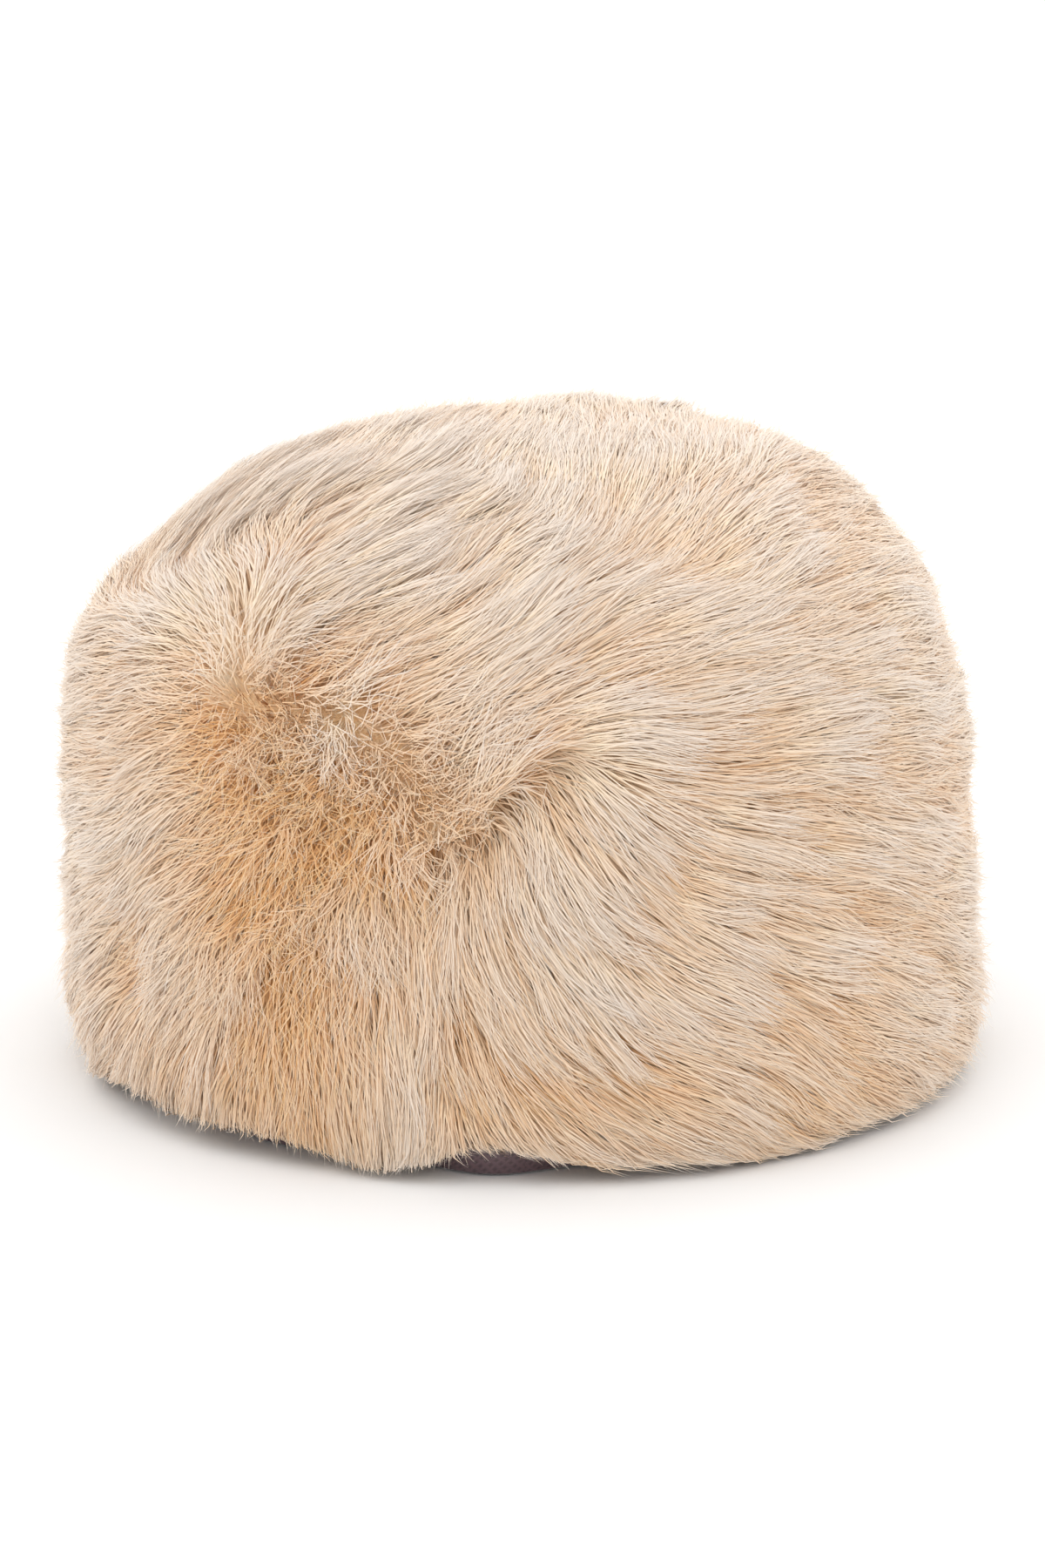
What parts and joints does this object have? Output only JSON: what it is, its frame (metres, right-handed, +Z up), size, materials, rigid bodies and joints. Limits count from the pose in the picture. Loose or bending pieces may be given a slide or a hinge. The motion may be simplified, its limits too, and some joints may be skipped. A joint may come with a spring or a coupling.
{
  "type": "papakha",
  "caption": "Round fur hat with a domed fur crown, a deep fur side band, a cloth lining and a faced rim, standing on its rim.",
  "frame": {"origin": "middle of the hat's box at its base, on the surface that the rim rests on", "axes": "+Z up through the crown, -Y the front of the hat, +X the wearer's left"},
  "size_m": [0.2608, 0.2756, 0.1741],
  "materials": {
    "fur": "long soft cream pile, tan at its roots",
    "satin": "dark mauve-grey lining satin",
    "facing": "dark mauve-grey twill, folded and top-stitched"
  },
  "bodies": {
    "root": {"fur_crown": "fur", "fur_side_band": "fur", "lining": "satin", "rim_facing": "facing"}
  },
  "joints": []
}
